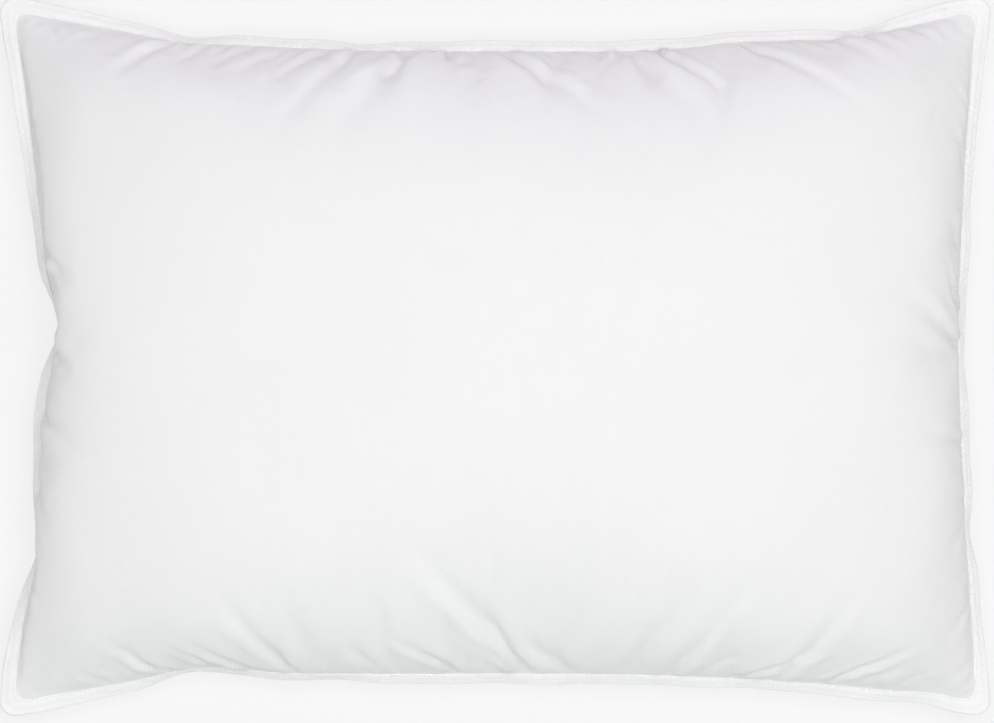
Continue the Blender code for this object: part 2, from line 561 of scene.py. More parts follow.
class Sockets:
    """Short ways to add and join the nodes of one node tree."""

    def __init__(self, tree: bpy.types.NodeTree) -> None:
        """Starts work on a node tree."""
        self.tree = tree

    def add(self, kind: str, x: float, y: float, **settings: object) -> bpy.types.Node:
        """Adds a node and gives it its settings.

        Args:
            kind: The node's type name.
            x: Its place in the editor, across.
            y: Its place in the editor, up.
            **settings: Attributes to set on the node.

        Returns:
            The new node.
        """
        node = self.tree.nodes.new(kind)
        node.location = (x, y)
        for name, value in settings.items():
            setattr(node, name, value)
        return node

    def math(self, operation: str, first: object, second: object, x: float, y: float) -> object:
        """Adds a Math node.

        Args:
            operation: The node's operation.
            first: A socket or a number.
            second: A socket or a number.
            x: Its place in the editor, across.
            y: Its place in the editor, up.

        Returns:
            The node's output socket.
        """
        node = self.add("ShaderNodeMath", x, y, operation=operation)
        for socket, value in zip(node.inputs, (first, second)):
            if isinstance(value, (int, float)):
                socket.default_value = value
            else:
                self.tree.links.new(value, socket)
        return node.outputs[0]

    def join(self, source: object, target: object) -> None:
        """Links an output socket to an input socket."""
        self.tree.links.new(source, target)

    def blend(self, factor: object, low: tuple, high: tuple, target: object) -> None:
        """Blends two colours into a colour input.

        Args:
            factor: The socket that says how much of the second colour shows.
            low: The first colour.
            high: The second colour.
            target: The input that takes the blend.
        """
        mix = self.add("ShaderNodeMix", -160, 200, data_type="RGBA")
        self.join(factor, mix.inputs["Factor"])
        mix.inputs["A"].default_value = (*low, 1.0)
        mix.inputs["B"].default_value = (*high, 1.0)
        self.join(mix.outputs["Result"], target)

    def bump(
        self, height: object, strength: float, depth: float, x: float, under: object = None
    ) -> object:
        """Adds a Bump node.

        Args:
            height: The socket that gives the height.
            strength: How strongly it shows, from 0 to 1.
            depth: The height of a full bump, in metres.
            x: Its place in the editor, across.
            under: The normal that it stands on, if not the mesh's own.

        Returns:
            The socket with the bumped normal.
        """
        node = self.add("ShaderNodeBump", x, -160)
        node.inputs["Strength"].default_value = strength
        node.inputs["Distance"].default_value = depth
        self.join(height, node.inputs["Height"])
        if under is not None:
            self.join(under, node.inputs["Normal"])
        return node.outputs["Normal"]


def started(name: str) -> tuple[bpy.types.Material, Sockets, bpy.types.Node, bpy.types.Node]:
    """Starts a material.

    Args:
        name: The material's name.

    Returns:
        The material, its node tree's sockets, its shader and its coordinates.
    """
    material = bpy.data.materials.new(name)
    material.use_nodes = True
    s = Sockets(material.node_tree)
    shader = material.node_tree.nodes["Principled BSDF"]
    shader.location = (500, 0)
    return material, s, shader, s.add("ShaderNodeTexCoord", -1100, 0)


def group_tree(
    name: str, inputs: dict[str, float], outputs: tuple[str, ...]
) -> bpy.types.NodeTree:
    """Starts a shader node group with a vector input and number sockets.

    Args:
        name: The group's name.
        inputs: Each number input and its usual value.
        outputs: The names of its number outputs.

    Returns:
        The group's node tree, without nodes.
    """
    tree = bpy.data.node_groups.new(name, "ShaderNodeTree")
    tree.interface.new_socket("Vector", in_out="INPUT", socket_type="NodeSocketVector")
    for label, value in inputs.items():
        socket = tree.interface.new_socket(label, in_out="INPUT", socket_type="NodeSocketFloat")
        socket.default_value = value
    for label in outputs:
        tree.interface.new_socket(label, in_out="OUTPUT", socket_type="NodeSocketFloat")
    return tree


def plain_weave_group() -> bpy.types.NodeTree:
    """Plain weave on flat cloth measured in metres.

    Returns:
        A group that gives the weave's height and the painted shade in its gaps.
    """
    name = "plain_weave"
    if name in bpy.data.node_groups:
        return bpy.data.node_groups[name]
    tree = group_tree(name, {"Threads per metre": 3200.0, "Slub": 0.25}, ("Height", "Painted gap shade"))
    s = Sockets(tree)
    source = s.add("NodeGroupInput", -1400, 0)
    result = s.add("NodeGroupOutput", 700, 0)
    uneven = s.add("ShaderNodeTexNoise", -1200, -260, noise_dimensions="2D")
    uneven.inputs["Scale"].default_value = 240.0
    uneven.inputs["Detail"].default_value = 2.0
    s.join(source.outputs["Vector"], uneven.inputs["Vector"])
    split = s.add("ShaderNodeSeparateXYZ", -1200, 60)
    s.join(source.outputs["Vector"], split.inputs[0])
    drift = s.math("MULTIPLY", uneven.outputs[0], source.outputs["Slub"], -1000, -220)
    phase = {}
    for label, height in (("X", 120), ("Y", -60)):
        turns = s.math("MULTIPLY", split.outputs[label], source.outputs[1], -1000, height)
        phase[label] = s.math("ADD", turns, drift, -820, height)
    over = {}
    for label, height in (("X", 160), ("Y", -80)):
        angle = s.math("MULTIPLY", phase[label], math.pi, -640, height)
        wave = s.math("SINE", angle, 0.0, -460, height)
        over[label] = s.math("ABSOLUTE", wave, 0.0, -280, height)
    # warp threads are on top in one set of squares and weft threads in the other
    odd_x = s.math("FLOOR", phase["X"], 0.0, -640, 320)
    odd_y = s.math("FLOOR", phase["Y"], 0.0, -640, -240)
    square = s.math("PINGPONG", s.math("ADD", odd_x, odd_y, -460, 320), 1.0, -280, 320)
    warp_on_top = s.math("MULTIPLY", over["X"], square, -60, 240)
    not_square = s.math("SUBTRACT", 1.0, square, -60, 60)
    weft_on_top = s.math("MULTIPLY", over["Y"], not_square, 120, 60)
    crown = s.math("ADD", warp_on_top, weft_on_top, 300, 160)
    slub = s.math("MULTIPLY", uneven.outputs[0], source.outputs["Slub"], 120, -160)
    s.join(s.math("ADD", crown, slub, 480, 160), result.inputs["Height"])
    # painted shade: darkest away from the thread crossings, in the gaps of the weave
    lowest = s.math("MULTIPLY", over["X"], over["Y"], 300, -80)
    s.join(s.math("SUBTRACT", 1.0, lowest, 480, -80), result.inputs["Painted gap shade"])
    return tree


def soft_mottle_group() -> bpy.types.NodeTree:
    """Cloudy variation at two sizes, for colour, roughness and fine crumple.

    Returns:
        A group that gives a broad and a fine value, each about 0 to 1.
    """
    name = "soft_mottle"
    if name in bpy.data.node_groups:
        return bpy.data.node_groups[name]
    tree = group_tree(name, {"Broad": 9.0, "Fine": 90.0}, ("Broad", "Fine"))
    s = Sockets(tree)
    source = s.add("NodeGroupInput", -500, 0)
    result = s.add("NodeGroupOutput", 200, 0)
    for number, (label, detail) in enumerate((("Broad", 3.0), ("Fine", 5.0))):
        cloud = s.add("ShaderNodeTexNoise", -250, 150 - 300 * number)
        cloud.inputs["Detail"].default_value = detail
        cloud.inputs["Distortion"].default_value = 0.4
        s.join(source.outputs["Vector"], cloud.inputs["Vector"])
        s.join(source.outputs[number + 1], cloud.inputs["Scale"])
        s.join(cloud.outputs[0], result.inputs[number])
    return tree


@dataclass(frozen=True)
class ClothFinish:
    """White woven cotton, with its weave, fine crumple and a soft sheen."""

    name: str
    light: tuple[float, float, float]
    shade: tuple[float, float, float]
    threads_per_metre: float = 3200.0
    weave_depth: float = 0.00005
    weave_strength: float = 0.6
    gap_shade: float = 0.35
    cloud_shade: float = 0.65
    crumple_depth: float = 0.0012
    crumple_strength: float = 0.35
    crumple_scale: float = 90.0
    roughness: float = 0.86
    roughness_spread: float = 0.10
    sheen: float = 0.18
    sheen_roughness: float = 0.5
    specular: float = 0.25

    def build(self) -> bpy.types.Material:
        """Makes the material.

        Returns:
            The finished material.
        """
        material, s, shader, place = started(self.name)
        weave = s.add("ShaderNodeGroup", -800, 160, node_tree=plain_weave_group())
        weave.inputs["Threads per metre"].default_value = self.threads_per_metre
        s.join(place.outputs["UV"], weave.inputs["Vector"])
        mottle = s.add("ShaderNodeGroup", -800, -160, node_tree=soft_mottle_group())
        mottle.inputs["Fine"].default_value = self.crumple_scale
        s.join(place.outputs["Object"], mottle.inputs["Vector"])
        # painted shade in the weave's gaps, mixed with cloudy tone that differs at random
        painted_gap_shade = s.math("MULTIPLY", weave.outputs["Painted gap shade"], self.gap_shade, -560, 240)
        cloudy = s.math("MULTIPLY", mottle.outputs["Broad"], self.cloud_shade, -560, 40)
        factor = s.math("ADD", painted_gap_shade, cloudy, -360, 160)
        s.blend(factor, self.light, self.shade, shader.inputs["Base Color"])
        spread, lowest = self.roughness_spread, self.roughness - self.roughness_spread / 2
        uneven = s.math("MULTIPLY", mottle.outputs["Fine"], spread, -560, -120)
        s.join(s.math("ADD", uneven, lowest, -360, -120), shader.inputs["Roughness"])
        crumple = s.bump(
            mottle.outputs["Fine"], self.crumple_strength, self.crumple_depth, -160
        )
        threads = s.bump(
            weave.outputs["Height"], self.weave_strength, self.weave_depth, 140, crumple
        )
        s.join(threads, shader.inputs["Normal"])
        shader.inputs["Sheen Weight"].default_value = self.sheen
        shader.inputs["Sheen Roughness"].default_value = self.sheen_roughness
        shader.inputs["Specular IOR Level"].default_value = self.specular
        return material


@dataclass(frozen=True)
class YarnFinish:
    """Twisted cotton yarn, for sewing thread and the cord."""

    name: str
    light: tuple[float, float, float]
    shade: tuple[float, float, float]
    turns_per_metre: float = 900.0
    twist_depth: float = 0.0001
    twist_strength: float = 0.5
    waver: float = 0.6
    roughness: float = 0.62
    sheen: float = 0.2

    def build(self) -> bpy.types.Material:
        """Makes the material.

        Returns:
            The finished material.
        """
        material, s, shader, place = started(self.name)
        # the twist shows as slanting bands across the yarn, raised and lighter on the plies,
        # with painted shade in the grooves between them
        plies = s.add("ShaderNodeTexWave", -650, 100, bands_direction="DIAGONAL")
        plies.inputs["Scale"].default_value = self.turns_per_metre / math.tau
        plies.inputs["Distortion"].default_value = self.waver
        s.join(place.outputs["Object"], plies.inputs["Vector"])
        bands = plies.outputs["Fac"]
        s.blend(bands, self.shade, self.light, shader.inputs["Base Color"])
        twist = s.bump(bands, self.twist_strength, self.twist_depth, 140)
        s.join(twist, shader.inputs["Normal"])
        shader.inputs["Roughness"].default_value = self.roughness
        shader.inputs["Sheen Weight"].default_value = self.sheen
        return material


@dataclass(frozen=True)
class DownFinish:
    """Loose white down: soft clusters, with painted shade where they meet."""

    name: str = "white_down"
    light: tuple[float, float, float] = (0.90, 0.88, 0.84)
    shade: tuple[float, float, float] = (0.74, 0.71, 0.66)
    clusters_per_metre: float = 55.0
    barbs_per_metre: float = 260.0
    depth: float = 0.003
    strength: float = 0.8
    roughness: float = 0.95
    sheen: float = 0.4

    def build(self) -> bpy.types.Material:
        """Makes the material.

        Returns:
            The finished material.
        """
        material, s, shader, place = started(self.name)
        clusters = s.add("ShaderNodeTexVoronoi", -650, 100)
        clusters.inputs["Scale"].default_value = self.clusters_per_metre
        s.join(place.outputs["Object"], clusters.inputs["Vector"])
        mottle = s.add("ShaderNodeGroup", -650, -200, node_tree=soft_mottle_group())
        mottle.inputs["Fine"].default_value = self.barbs_per_metre
        s.join(place.outputs["Object"], mottle.inputs["Vector"])
        apart = clusters.outputs["Distance"]
        # painted shade: the colour darkens away from each cluster's middle, where the clusters
        # meet and dip
        s.blend(apart, self.light, self.shade, shader.inputs["Base Color"])
        height = s.math("SUBTRACT", mottle.outputs["Fine"], apart, -380, -100)
        s.join(s.bump(height, self.strength, self.depth, 140), shader.inputs["Normal"])
        shader.inputs["Roughness"].default_value = self.roughness
        shader.inputs["Sheen Weight"].default_value = self.sheen
        return material


@dataclass(frozen=True)
class FloorFinish:
    """A pale studio surface that glows a little, so shadows on it stay faint."""

    name: str = "studio_floor"
    colour: float = 0.26
    glow: float = 0.655
    grain_scale: float = 400.0
    grain_depth: float = 0.0005
    grain_strength: float = 0.05
    roughness: float = 0.9
    specular: float = 0.1

    def build(self) -> bpy.types.Material:
        """Makes the material.

        Returns:
            The finished material.
        """
        material, s, shader, place = started(self.name)
        grain = s.add("ShaderNodeTexNoise", -650, 0)
        grain.inputs["Scale"].default_value = self.grain_scale
        s.join(place.outputs["Object"], grain.inputs["Vector"])
        bump = s.bump(grain.outputs[0], self.grain_strength, self.grain_depth, -300)
        s.join(bump, shader.inputs["Normal"])
        shader.inputs["Base Color"].default_value = (self.colour, self.colour, self.colour, 1.0)
        shader.inputs["Roughness"].default_value = self.roughness
        shader.inputs["Specular IOR Level"].default_value = self.specular
        shader.inputs["Emission Color"].default_value = (1.0, 1.0, 1.0, 1.0)
        shader.inputs["Emission Strength"].default_value = self.glow
        return material


# ---------------------------------------------------------------- the cover


class Face(Enum):
    """Which way a panel's outer face looks. The value is the sign of its height."""

    UP = 1
    DOWN = -1


@dataclass
class CoverPanel:
    """One of the cover's two panels, cut flat and filled by simulation."""

    name: str
    face: Face
    line: SewnLine
    rail: Rail
    seed: int
    crown: float
    cut_length: float = 0.682
    cut_width: float = 0.482
    cell: float = 0.0055
    thickness: float = 0.0004
    ply: float = 0.00025
    margin_width: float = 0.0080
    frames: int = 36
    pressure: float = 7.0
    # below 1, the filled cloth stands steeper by the seam and flatter in the middle
    fullness: float = 0.70
    dome_power: float = 0.44
    calm_cells: int = 5
    # where the calm starts and is full: in the corners as a share of the way out
    # to them, and over the middle in metres in from the seam
    calm_corner: tuple[float, float] = (0.24, 0.60)
    calm_middle: tuple[float, float] = (0.030, 0.075)
    calm_middle_share: float = 0.7
    # the height and size of the filling's bumps, and where they fade at the seam
    bumps: tuple[float, float] = (0.0010, 0.075)
    bump_fade: float = 0.25
    crease_limit: float = 0.0062
    creases: tuple[Crease, ...] = ()
    obj: bpy.types.Object | None = None
    flat: Array | None = None
    seam_index: Array | None = None
    shape: Array | None = None

    def half_cut(self) -> Array:
        """Half the cut's length and width."""
        return np.array((self.cut_length / 2, self.cut_width / 2))

    def cut(self) -> None:
        """Cuts the panel: a flat grid of cloth with its own UV map in metres."""
        long_cells = round(self.cut_length / self.cell)
        wide_cells = round(self.cut_width / self.cell)
        self.obj = grid_strip(self.name, long_cells, wide_cells)
        square = coordinates(self.obj)
        self.flat = square * (*self.half_cut(), 0.0)
        write_uv(self.obj, self.flat[:, :2])
        place_points(self.obj, self.flat)
        on_edge = np.abs(square[:, :2]).max(axis=1) > ON_EDGE
        self.seam_index = np.where(on_edge)[0]

    def drawn_in(self) -> Array:
        """The panel with its edge sewn and its middle still loose.

        Returns:
            Rows of X, Y and Z.
        """
        u, v = (self.flat[:, :2] / self.half_cut()).T
        x, y = self.line.plan(u, v)
        shape = np.column_stack((x, y, self.line.level(u, v)))
        edge = self.seam_index
        shape[edge] = self.line.sewn(u[edge], v[edge])
        return shape

    def fill(self) -> Array:
        """Draws the edge in while the filling pushes the cloth up.

        Returns:
            Rows of X, Y and Z, with the filled side up.
        """
        obj = self.obj
        rng = np.random.default_rng(self.seed)
        uneven = self.flat.copy()
        uneven[:, 2] = rng.normal(0.0, 0.0002, len(uneven))
        place_points(obj, uneven)
        obj.shape_key_add(name="flat")
        sewn = obj.shape_key_add(name="sewn")
        sewn.data.foreach_set("co", self.drawn_in().ravel())
        for value, when in ((0.0, 1), (1.0, 9)):
            sewn.value = value
            sewn.keyframe_insert("value", frame=when)
        group = obj.vertex_groups.new(name="seam")
        group.add([int(i) for i in self.seam_index], 1.0, "REPLACE")
        cloth = obj.modifiers.new("filling_pushes_out", "CLOTH")
        settings = cloth.settings
        settings.quality = 6
        settings.mass = 0.0015
        settings.air_damping = 2.0
        settings.tension_stiffness = 40.0
        settings.compression_stiffness = 2.0
        settings.shear_stiffness = 2.0
        settings.bending_stiffness = 0.02
        settings.tension_damping = 15.0
        settings.compression_damping = 15.0
        settings.shear_damping = 15.0
        settings.bending_damping = 0.5
        settings.use_pressure = True
        settings.uniform_pressure_force = self.pressure
        settings.vertex_group_mass = group.name
        settings.effector_weights.gravity = 0.0
        cloth.collision_settings.use_collision = False
        cloth.collision_settings.use_self_collision = False
        cloth.point_cache.frame_start = 1
        cloth.point_cache.frame_end = self.frames
        for step in range(1, self.frames + 1):
            bpy.context.scene.frame_set(step)
        filled = obj.evaluated_get(bpy.context.evaluated_depsgraph_get())
        points = coordinates(filled)
        obj.modifiers.remove(cloth)
        obj.shape_key_clear()
        obj.animation_data_clear()
        obj.vertex_groups.clear()
        bpy.context.scene.frame_set(1)
        return points

    def settled(self, points: Array) -> Array:
        """Fits the crown, and adds the filling's own unevenness.

        Args:
            points: The panel as the simulation left it, filled side up.

        Returns:
            Rows of X, Y and Z, the right way up.
        """
        u, v = (self.flat[:, :2] / self.half_cut()).T
        seam = self.line.level(u, v)
        rise = points[:, 2] - seam
        log.info("%s: crown %.4f m before it is fitted", self.name, rise.max())
        share = rise / rise.max()
        rise = self.crown * np.sign(share) * np.abs(share) ** self.fullness
        # the corners hold little filling, so their cloth lies smoothly
        dome = (np.maximum(1 - u**2, 1e-4) * np.maximum(1 - v**2, 1e-4)) ** self.dome_power
        even = dome * self.blurred(rise / dome, self.calm_cells)
        calm = ramp(np.abs(u * v), *self.calm_corner)
        # and so does the well filled middle, away from the seam
        inward = (1 - np.abs(np.column_stack((u, v)))) * self.half_cut()
        middle = self.calm_middle_share * ramp(inward.min(axis=1), *self.calm_middle)
        calm = np.maximum(calm, middle)
        rise += (even - rise) * calm * calm * (3 - 2 * calm)
        inner = ramp(1 - np.maximum(np.abs(u), np.abs(v)), 0.0, self.bump_fade)
        bump_height, bump_size = self.bumps
        rise += bump_height * wander(self.flat, bump_size, self.seed) * inner
        points[:, 2] = seam + self.face.value * rise
        if self.face is Face.DOWN:
            points[:, 2] = resting(points[:, 2], 0.0)
        return points

    def blurred(self, values: Array, cells: int) -> Array:
        """Values over the cut, each averaged with its neighbours both ways.

        Args:
            values: One number for each point of the cut.
            cells: How many neighbours count, on either side.

        Returns:
            The averaged values.
        """
        table = values.reshape(round(self.cut_width / self.cell) + 1, -1)
        for axis in (0, 1, 0, 1):
            padding = [(cells, cells) if n == axis else (0, 0) for n in (0, 1)]
            padded = np.cumsum(np.pad(table, padding, mode="edge"), axis=axis)
            padded = np.insert(padded, 0, 0.0, axis=axis)
            size = table.shape[axis]
            high = np.take(padded, np.arange(size) + 2 * cells + 1, axis=axis)
            table = (high - np.take(padded, np.arange(size), axis=axis)) / (2 * cells + 1)
        return table.ravel()

    def finish(self, points: Array) -> bpy.types.Object:
        """Adds the margin, smooths the cloth and gives it its thickness.

        Args:
            points: The panel's final places, without its margin.

        Returns:
            The finished panel.
        """
        obj = self.obj
        station = self.rail.nearest(points[self.seam_index])
        side = self.face.value
        points[self.seam_index] += self.rail.upward[station] * side * self.ply
        place_points(obj, points)
        with editing(obj):
            bpy.ops.mesh.region_to_loop()
            for _ in range(2):
                bpy.ops.mesh.extrude_edges_indiv()
        grown = coordinates(obj)
        count = len(self.flat)
        rim = (len(grown) - count) // 2
        edge_cloth = self.flat[self.seam_index, :2]
        cloth = np.vstack((self.flat[:, :2], np.zeros((2 * rim, 2))))
        seam = points[self.seam_index]
        for ring in (0, 1):
            here = np.arange(count + ring * rim, count + (ring + 1) * rim)
            apart = ((grown[here][:, None] - seam[None]) ** 2).sum(axis=2)
            source = apart.argmin(axis=1)
            reach = self.margin_width * (ring + 1) / 2
            ratio = edge_cloth[source] / self.half_cut()
            outwards = np.where(np.abs(ratio) > ON_EDGE, ratio, 0)
            cloth[here] = edge_cloth[source] + reach * outwards
            grown[here] = self.rail.place(
                station[source], np.full(rim, reach), np.full(rim, side * self.ply)
            )
        place_points(obj, grown)
        write_uv(obj, cloth)
        if self.face is Face.DOWN:
            with editing(obj):
                bpy.ops.mesh.flip_normals()
        smooth = obj.modifiers.new("smooth_cloth", "SUBSURF")
        smooth.levels = 1
        smooth.render_levels = 1
        apply_modifiers(obj)
        self.crease(obj)
        shell = obj.modifiers.new("cloth_thickness", "SOLIDIFY")
        shell.thickness = self.thickness
        shell.offset = -1.0
        apply_modifiers(obj)
        bpy.ops.object.shade_smooth()
        return obj

    def crease(self, obj: bpy.types.Object) -> None:
        """Presses the creases into the smoothed cloth.

        Args:
            obj: The panel, before it has a thickness.
        """
        mesh = obj.data
        corner_point = np.empty(len(mesh.loops), int)
        mesh.loops.foreach_get("vertex_index", corner_point)
        corner_cloth = np.empty(len(mesh.loops) * 2)
        mesh.uv_layers["cloth"].data.foreach_get("uv", corner_cloth)
        flat = np.zeros((len(mesh.vertices), 2))
        flat[corner_point] = corner_cloth.reshape(-1, 2)
        normal = np.empty(len(mesh.vertices) * 3)
        mesh.vertices.foreach_get("normal", normal)
        half = self.half_cut()
        height = sum(crease.height(flat, half) for crease in self.creases)
        # no crease is deeper than the cloth's slack allows
        height = self.crease_limit * np.tanh(height / self.crease_limit)
        places = coordinates(obj) + normal.reshape(-1, 3) * height[:, None]
        if self.face is Face.DOWN:
            places[:, 2] = np.maximum(places[:, 2], 0.0)
        place_points(obj, places)

    def build(self) -> bpy.types.Object:
        """Cuts, fills and finishes the panel.

        Returns:
            The finished panel.
        """
        self.cut()
        points = self.fill()
        self.shape = self.settled(points)
        return self.finish(self.shape.copy())


def resting(height: Array, floor: float, blend: float = 0.004) -> Array:
    """Heights pressed flat where they would go under a surface.

    Args:
        height: Heights before resting.
        floor: The surface's height.
        blend: How softly the cloth rounds off onto the surface.

    Returns:
        Heights that never go under the surface.
    """
    over = height - floor
    soft = np.where(over > blend, over, (over + blend) ** 2 / (4 * blend))
    return floor + np.where(over < -blend, 0.0, soft)


# ---------------------------------------------------------------- the bound edge


@dataclass
class Binding:
    """A strip of cotton folded over both margins and round a thin cord."""

    rail: Rail
    start: float = 0.0007
    seam_row: float = 0.0025
    edge_row: float = 0.0073
    cord_place: float = 0.0097
    fold_radius: float = 0.0012
    leg: float = 0.00072
    dip: float = 0.00034
    # where the fold's arc has its points, in degrees from straight out
    fold_degrees: tuple[float, ...] = (112, 56)
    thickness: float = 0.00035
    stations_per_stitch: int = 4
    puff: float = 0.00005
    join_within: float = 0.00001

    def section(self) -> Array:
        """Half of the folded strip's section, from its edge to the end of the fold.

        Returns:
            Rows of distance from the seam, height, and how much a stitch pulls it in.
        """
        rows = [
            (self.start, self.leg * 0.75, 0.0),
            (self.seam_row - 0.0007, self.leg, 0.1),
            (self.seam_row, self.leg - self.dip, 1.0),
            (self.seam_row + 0.0009, self.leg, 0.1),
            (self.edge_row - 0.0008, self.leg, 0.1),
            (self.edge_row, self.leg - self.dip, 1.0),
        ]
        for degrees in self.fold_degrees:
            angle = math.radians(degrees)
            out = self.cord_place + self.fold_radius * math.cos(angle)
            rows.append((out, self.fold_radius * math.sin(angle), 0.0))
        rows.append((self.cord_place + self.fold_radius, 0.0, 0.0))
        return np.array(rows)

    def build(self) -> bpy.types.Object:
        """Folds the strip over the margins and joins its ends.

        Returns:
            The finished binding.
        """
        half = self.section()
        mirrored = half[-2::-1] * (1, -1, 1)
        section = np.vstack((half, mirrored))
        stations = len(self.rail.points)
        obj = grid_strip("edge_binding_cloth", len(section) - 1, stations)
        square = coordinates(obj)
        across = np.rint((square[:, 0] + 1) / 2 * (len(section) - 1)).astype(int)
        along = np.rint((square[:, 1] + 1) / 2 * stations).astype(int) % stations
        puff = self.puff * np.cos(math.tau * along / self.stations_per_stitch)
        puff *= 1 - section[across, 2]
        up = section[across, 1] - np.sign(section[across, 1]) * puff
        place_points(obj, self.rail.place(along, section[across, 0], up))
        steps = np.linalg.norm(np.diff(section[:, :2], axis=0), axis=1)
        width = np.concatenate(([0.0], np.cumsum(steps)))
        run = (square[:, 1] + 1) / 2 * self.rail.length
        write_uv(obj, np.column_stack((width[across], run)))
        with editing(obj):
            bpy.ops.mesh.remove_doubles(threshold=self.join_within)
        shell = obj.modifiers.new("cloth_thickness", "SOLIDIFY")
        shell.thickness = self.thickness
        shell.offset = 0.0
        apply_modifiers(obj)
        bpy.ops.object.shade_smooth()
        return obj


@dataclass
class EdgeCord:
    """The thin cord that fills the binding's fold."""

    rail: Rail
    place: float = 0.0097
    diameter: float = 0.0015
    every: int = 4

    def build(self) -> bpy.types.Object:
        """Lays the cord round the pillow as a closed curve, then makes it a mesh.

        Returns:
            The finished cord.
        """
        station = np.arange(0, len(self.rail.points), self.every)
        flat = np.zeros(len(station))
        path = self.rail.place(station, flat + self.place, flat)
        curve = bpy.data.curves.new("edge_cord_yarn", "CURVE")
        curve.dimensions = "3D"
        curve.bevel_depth = self.diameter / 2
        curve.bevel_resolution = 2
        spline = curve.splines.new("POLY")
        spline.points.add(len(path) - 1)
        spline.points.foreach_set("co", np.column_stack((path, np.ones(len(path)))).ravel())
        spline.use_cyclic_u = True
        obj = bpy.data.objects.new("edge_cord_yarn", curve)
        bpy.context.scene.collection.objects.link(obj)
        make_active(obj)
        bpy.ops.object.convert(target="MESH")
        bpy.ops.object.shade_smooth()
        return bpy.context.object


# ---------------------------------------------------------------- the stitching


@dataclass
class StitchRow:
    """One thread of a row of stitches, each stitch a short arc of yarn."""

    name: str
    rail: Rail
    place: float
    height: float
    face: Face
    spacing: int = 4
    share: float = 0.86
    thread: float = 0.00042
    arch: float = 0.00022
    end_dip: float = 1.9
    end_slimming: float = 0.55
    cuts: tuple[float, ...] = (-0.78, -0.3, 0.3, 0.78)
    slant: float = 0.0
    shift: int = 0
    first: float = 0.0
    last: float = 1.0

    def one_stitch(self) -> tuple[Array, list[tuple[int, ...]]]:
        """Models one stitch along X: a thin bar that dips into the cloth at both ends.

        Returns:
            Its points, from -1 to 1 along X, and its faces.
        """
        deselect()
        bpy.ops.mesh.primitive_cylinder_add(vertices=6, radius=0.5, depth=2.0)
        bar = bpy.context.object
        with editing(bar):
            for cut in self.cuts:
                bpy.ops.mesh.select_all(action="SELECT")
                bpy.ops.mesh.bisect(plane_co=(0, 0, cut), plane_no=(0, 0, 1))
        raw = coordinates(bar)
        points = np.column_stack((raw[:, 2], raw[:, 0], raw[:, 1]))
        slim = 1 - self.end_slimming * np.abs(points[:, 0]) ** 6
        points[:, 1:] *= slim[:, None]
        faces = [tuple(face.vertices) for face in bar.data.polygons]
        bpy.data.objects.remove(bar, do_unlink=True)
        return points, faces

    def build(self) -> bpy.types.Object:
        """Lays the stitches along the rail.

        Returns:
            All of the thread's stitches as one object.
        """
        shape, faces = self.one_stitch()
        stations = len(self.rail.points)
        starts = np.arange(0, stations - self.spacing + 1, self.spacing)
        starts = starts[(starts >= self.first * stations) & (starts < self.last * stations)]
        gap = self.rail.length / stations
        reach = self.spacing * gap * self.share / 2
        side = self.face.value
        middle = (starts + self.spacing // 2 + self.shift) % stations
        rows = []
        for point in shape:
            ahead = point[0] * reach
            out = self.place + point[1] * self.thread + point[0] * self.slant
            sunk = self.height + self.arch * (1 - self.end_dip * point[0] ** 2)
            up = side * (sunk + point[2] * self.thread)
            count = len(middle)
            spots = self.rail.place(middle, np.full(count, out), np.full(count, up))
            rows.append(spots + ahead * self.rail.along[middle])
        points = np.stack(rows, axis=1).reshape(-1, 3)
        size = len(shape)
        all_faces = [
            tuple(n * size + i for i in face) for n in range(len(middle)) for face in faces
        ]
        mesh = bpy.data.meshes.new(self.name)
        mesh.from_pydata(points.tolist(), [], all_faces)
        obj = bpy.data.objects.new(self.name, mesh)
        bpy.context.scene.collection.objects.link(obj)
        with editing(obj):
            bpy.ops.mesh.normals_make_consistent(inside=False)
        bpy.ops.object.shade_smooth()
        return obj


# ---------------------------------------------------------------- the filling


